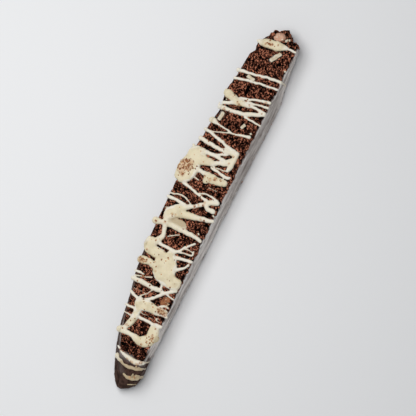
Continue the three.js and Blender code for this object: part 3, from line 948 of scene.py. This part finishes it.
class BISCOTTI_OT_drizzle(bpy.types.Operator):
    """Pours the white chocolate over the slice: pools, strokes, threads and runs as one skin"""

    bl_idname = "biscotti.drizzle"
    bl_label = "White chocolate drizzle"

    def execute(self, context):
        drizzle = context.scene.biscotti.drizzle
        solid = node_copy("biscuit")
        faces = BVHTree.FromBMesh(solid)
        solid.free()
        strokes = [list(wandering(discs, drizzle)) for discs in STROKES]
        films = [list(wandering(discs, drizzle)) for discs in FILMS]
        crumb_faces = finished_faces("biscuit_slice")
        poured = [pour_stroke(faces, crumb_faces, path, drizzle) for path in strokes]
        poured += [pour_stroke(faces, crumb_faces, path, drizzle, film=True) for path in films]
        poured += [pour_run(faces, -1, *run) for run in BASE_RUNS]
        poured += [pour_run(faces, 1, *run) for run in DOME_RUNS]
        mesh = skin_over(gather(poured), "white_chocolate_drizzle", drizzle.skin_step, smoothing=2)
        look_up = stroke_lookup(strokes, films)
        rows = []
        for vertex in mesh.vertices:
            place = vertex.co
            thickness = min(1.0, faces.find_nearest(place)[3] / drizzle.fullness)
            x, y = place_on_slice(place)
            width, film = look_up(x, y)
            film *= smooth_range(*FILM_FADE, thickness)
            offset = SWELL_HEIGHT * swell(place, SWELL_SIZE)
            rows.append((offset, thickness, smooth_range(*POOL_WIDTH, width), film, smeared(x, y)))
        lay_surface(mesh, ["thickness", "pool", "film", "smear"], rows)
        nodes = [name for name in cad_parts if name.startswith("pool_")]
        new_piece("white_chocolate_drizzle", mesh, chocolate_material(drizzle), "white_chocolate", nodes)
        return {"FINISHED"}


# ---------- Almonds and crumbs


def almond_material(name, dark, light, toast, toast_share):
    """Mottled almond with specks of a third colour."""
    paint = Paint(name, roughness=0.6, specular=0.3)
    body = paint.pattern("Mottle", "Color", Scale=480.0, Balance=0.48, Softness=0.2, Dark=dark, Light=light)
    specks = paint.pattern("Specks", "Mask", Scale=800.0, Size=0.4, Share=toast_share)
    paint.feed("Base Color", mix_colours(paint.tree, specks, body, toast))
    paint.bump(distance=0.15 * MM, strength=0.45, Scale=1400.0, Lumps=0.3)
    return paint.material


def almond_relief(place, height):
    """Uneven broken almond: low swells, with creases cut into them."""
    return height * swell(place, 1.7) - 0.4 * height * abs(ripple(place, 0.7))


class BISCOTTI_OT_almonds(bpy.types.Operator):
    """Makes the almond chunk, the half kernel in its skin and the splinters, with uneven broken faces"""

    bl_idname = "biscotti.almonds"
    bl_label = "Almonds"

    def execute(self, context):
        nuts = context.scene.biscotti.nuts
        flesh = almond_material("almond_flesh", nuts.flesh_dark, nuts.flesh, nuts.skin_light, 0.08)
        chunk = almond_material("almond_chunk", nuts.chunk_dark, nuts.chunk, nuts.flesh, 0.12)
        skin = almond_material("almond_skin", nuts.skin, nuts.skin_light, nuts.flesh_dark, 0.2)
        finishes = {"almond_chunk": (chunk, "blanched_almond"), "almond_in_skin": (skin, "almond_skin")}
        for node in [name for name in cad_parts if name.startswith("almond_")]:
            mesh = skin_over(node_copy(node), node + "_piece", nuts.skin_step)
            height = (0.6 if node == "almond_chunk" else 0.3) * MM
            push_out(mesh, [almond_relief(vertex.co, height) for vertex in mesh.vertices])
            finish, slot = finishes.get(node, (flesh, "blanched_almond"))
            new_piece(node + "_piece", mesh, finish, slot, [node])
        return {"FINISHED"}


BIT_HEIGHT, BIT_BEVEL, BIT_STEP = 0.9, 0.22 * MM, 0.15 * MM

# Small almond bits in the crumb: (x, y, length, width, turn in degrees).
ALMOND_BITS = [
    (46.9, -2.4, 2.8, 1.6, -24), (45.2, -7.7, 1.1, 1.0, 50), (81.0, -9.3, 0.9, 1.0, 0),
    (-51.6, -7.7, 1.6, 0.8, -15), (55.7, 11.6, 0.9, 0.6, 70), (96.2, -4.0, 1.2, 0.8, 30),
]


class BISCOTTI_OT_bits(bpy.types.Operator):
    """Sets the smallest bits of almond into the crumb"""

    bl_idname = "biscotti.almond_bits"
    bl_label = "Almond bits"

    def execute(self, context):
        flesh = bpy.data.materials.get("almond_flesh")
        if flesh is None:
            raise RuntimeError("make the almonds before their bits")
        crumb_faces = finished_faces("biscuit_slice")
        bm = bmesh.new()
        for x, y, long_side, short_side, turn in ALMOND_BITS:
            centre = on_slice(x, y, resting_height(crumb_faces, x, y) / MM + CLEARANCE)
            turned = Matrix.Rotation(math.radians(turn), 3, "Z")
            sizes = Vector((long_side, short_side, BIT_HEIGHT)) * MM
            cube = bmesh.ops.create_cube(bm, size=1.0, matrix=Matrix.LocRotScale(centre, turned, sizes))
            bmesh.ops.bevel(
                bm, geom=list({edge for vertex in cube["verts"] for edge in vertex.link_edges}),
                offset=BIT_BEVEL, affect="EDGES", segments=2, profile=0.5, material=-1,
            )
        mesh = skin_over(bm, "almond_bits", BIT_STEP)
        push_out(mesh, [0.15 * MM * ripple(vertex.co, 0.8) for vertex in mesh.vertices])
        new_piece("almond_bits", mesh, flesh, "blanched_almond")
        return {"FINISHED"}


# Where loose crumbs gather on the chocolate: (x, y, spread).
CRUMB_SPOTS = [
    (14, 15.4, 3.6), (18.4, 15.5, 3), (16.6, 17.2, 3), (16.5, 13, 3), (-36, 14.2, 1.6),
    (-55, -6.5, 2.5), (-70, -8, 3), (90, 3.4, 2.4),
]
CRUMB_SEED = 4
CRUMB_FIELD = ((-80, 92), (-9, 11))  # where the others fall: along the slice and across it
CRUMB_SIZES = (0.16, 0.42)
CRUMB_STRETCHES = ((0.8, 1.4), (0.8, 1.2), (0.6, 0.9))


class BISCOTTI_OT_crumbs(bpy.types.Operator):
    """Scatters loose brown crumbs over the slice and its chocolate"""

    bl_idname = "biscotti.crumbs"
    bl_label = "Loose crumbs"

    def execute(self, context):
        nuts = context.scene.biscotti.nuts
        surface = finished_faces("white_chocolate_drizzle")
        draw = random.Random(CRUMB_SEED)
        noise.seed_set(CRUMB_SEED)  # without it noise_vector differs from run to run
        bm = bmesh.new()
        for i in range(nuts.crumb_count):
            if i % 2:
                spot_x, spot_y, spread = CRUMB_SPOTS[i // 2 % len(CRUMB_SPOTS)]
                x, y = draw.gauss(spot_x, spread / 2), draw.gauss(spot_y, spread / 2)
            else:
                x, y = draw.uniform(*CRUMB_FIELD[0]), draw.uniform(*CRUMB_FIELD[1])
            hit = hit_from_above(surface, x, y)
            size = draw.uniform(*CRUMB_SIZES) * MM
            stretch = Vector([draw.uniform(*bounds) for bounds in CRUMB_STRETCHES])
            turn = Matrix.Rotation(draw.uniform(0, math.pi), 3, "Z")
            if hit is None or hit.z < TOP:
                continue
            matrix = Matrix.LocRotScale(hit + 0.2 * size * UP, turn, size * stretch)
            for vertex in bmesh.ops.create_icosphere(bm, subdivisions=2, radius=1.0, matrix=matrix)["verts"]:
                vertex.co += 0.3 * size * noise.noise_vector(vertex.co / (0.4 * MM))
        mesh = finished_mesh(bm, "loose_crumbs")
        paint = Paint("loose_crumb", roughness=0.9, specular=0.2)
        body = paint.pattern("Mottle", "Color", Scale=900.0, Dark=nuts.crumb_dark, Light=nuts.crumb)
        paint.feed("Base Color", body)
        new_piece("loose_crumbs", mesh, paint.material, "baked_dough")
        return {"FINISHED"}


# ---------- The stage

FLOOR_REACH = 1.5  # from its middle to its edges, in metres
VIEW_MIDDLE = (2.24, -4.64)  # the place on the slice that the camera looks at
SENSOR_WIDTH = 36.0
LAMP_SIZE, LAMP_DISTANCE = 0.6, 0.65
LAMP_RIGHT, LAMP_UP = -0.42, 0.3  # where the lamp hangs, seen from the camera
LAMP_TURN = 0.5  # how far the lamp is turned past the slice
SKY_COLOUR = (0.95, 0.98, 1.0, 1)


def view_axes(stage):
    """The camera's right, up and looking directions."""
    across = Vector((0, math.cos(stage.camera_tilt), math.sin(stage.camera_tilt)))
    along = Vector((1, 0, 0))
    turn_cos, turn_sin = math.cos(stage.camera_roll), math.sin(stage.camera_roll)
    right = turn_cos * along - turn_sin * across
    up = turn_sin * along + turn_cos * across
    return right, up, up.cross(right)


def place_on_stage(name, data, position, turn):
    """Links a camera or a lamp at a position with a 3 by 3 turn."""
    thing = bpy.data.objects.new(name, data)
    thing.matrix_world = Matrix.Translation(position) @ turn.to_4x4()
    bpy.context.scene.collection.objects.link(thing)
    return thing


class BISCOTTI_OT_stage(bpy.types.Operator):
    """Lays a plain pale floor and sets the soft light and the camera"""

    bl_idname = "biscotti.stage"
    bl_label = "Floor, light and camera"

    def execute(self, context):
        stage = context.scene.biscotti.stage
        bm = bmesh.new()
        bmesh.ops.create_grid(bm, x_segments=1, y_segments=1, size=FLOOR_REACH)
        mesh = finished_mesh(bm, "floor")
        floor = bpy.data.objects.new("floor", mesh)
        context.scene.collection.objects.link(floor)
        paint = Paint("floor", roughness=0.9, specular=0.1)
        paint.shader.inputs["Base Color"].default_value = (*stage.floor, 1)
        mesh.materials.append(paint.material)
        floor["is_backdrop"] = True

        right, up, forward = view_axes(stage)
        middle = on_slice(*VIEW_MIDDLE, TOP / MM)
        lens = bpy.data.cameras.new("camera")
        lens.sensor_width = SENSOR_WIDTH
        lens.lens = lens.sensor_width * stage.camera_distance / stage.view_width
        turn = Matrix((right, up, -forward)).transposed()
        context.scene.camera = place_on_stage("camera", lens, middle - stage.camera_distance * forward, turn)

        key = bpy.data.lights.new("key_light", "AREA")
        key.shape = "DISK"
        key.size = LAMP_SIZE
        key.energy = stage.key_power
        aim = LAMP_DISTANCE * (LAMP_RIGHT * right + LAMP_UP * up - forward).normalized()
        turn = (aim + LAMP_TURN * right).to_track_quat("Z", "Y").to_matrix()
        place_on_stage("key_light", key, middle + aim, turn)

        world = bpy.data.worlds.new("soft_room")
        world.use_nodes = True
        world.node_tree.nodes["Background"].inputs["Color"].default_value = SKY_COLOUR
        world.node_tree.nodes["Background"].inputs["Strength"].default_value = stage.sky
        context.scene.world = world
        context.scene.view_settings.view_transform = "Standard"
        return {"FINISHED"}


# ---------- Add-on

MAKERS = [
    BISCOTTI_OT_biscuit,
    BISCOTTI_OT_drizzle,
    BISCOTTI_OT_almonds,
    BISCOTTI_OT_bits,
    BISCOTTI_OT_crumbs,
    BISCOTTI_OT_stage,
]


class VIEW3D_PT_biscotti(bpy.types.Panel):
    """Lists what the add-on can make"""

    bl_label = "Biscotti"
    bl_space_type = "VIEW_3D"
    bl_region_type = "UI"
    bl_category = "Biscotti"

    def draw(self, context):
        settings = context.scene.biscotti
        for maker in MAKERS:
            self.layout.operator(maker.bl_idname)
        for group in (settings.dough, settings.drizzle, settings.nuts, settings.stage):
            box = self.layout.box()
            for name in group.bl_rna.properties.keys():
                if name not in ("rna_type", "name"):
                    box.prop(group, name)


CLASSES = [
    BISCOTTI_PG_dough,
    BISCOTTI_PG_drizzle,
    BISCOTTI_PG_nuts,
    BISCOTTI_PG_stage,
    BISCOTTI_PG_settings,
    *MAKERS,
    VIEW3D_PT_biscotti,
]


def register():
    for cls in CLASSES:
        bpy.utils.register_class(cls)
    bpy.types.Scene.biscotti = PointerProperty(type=BISCOTTI_PG_settings)


def unregister():
    del bpy.types.Scene.biscotti
    for cls in reversed(CLASSES):
        bpy.utils.unregister_class(cls)


def main():
    register()
    bpy.ops.biscotti.biscuit()
    bpy.ops.biscotti.drizzle()
    bpy.ops.biscotti.almonds()
    bpy.ops.biscotti.almond_bits()
    bpy.ops.biscotti.crumbs()
    bpy.ops.biscotti.stage()
    corners = {"cad": CAD_BOUNDS, "visual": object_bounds()}
    {name: [list(corner) for corner in box] for name, box in corners.items()}


if __name__ == "__main__":
    main()
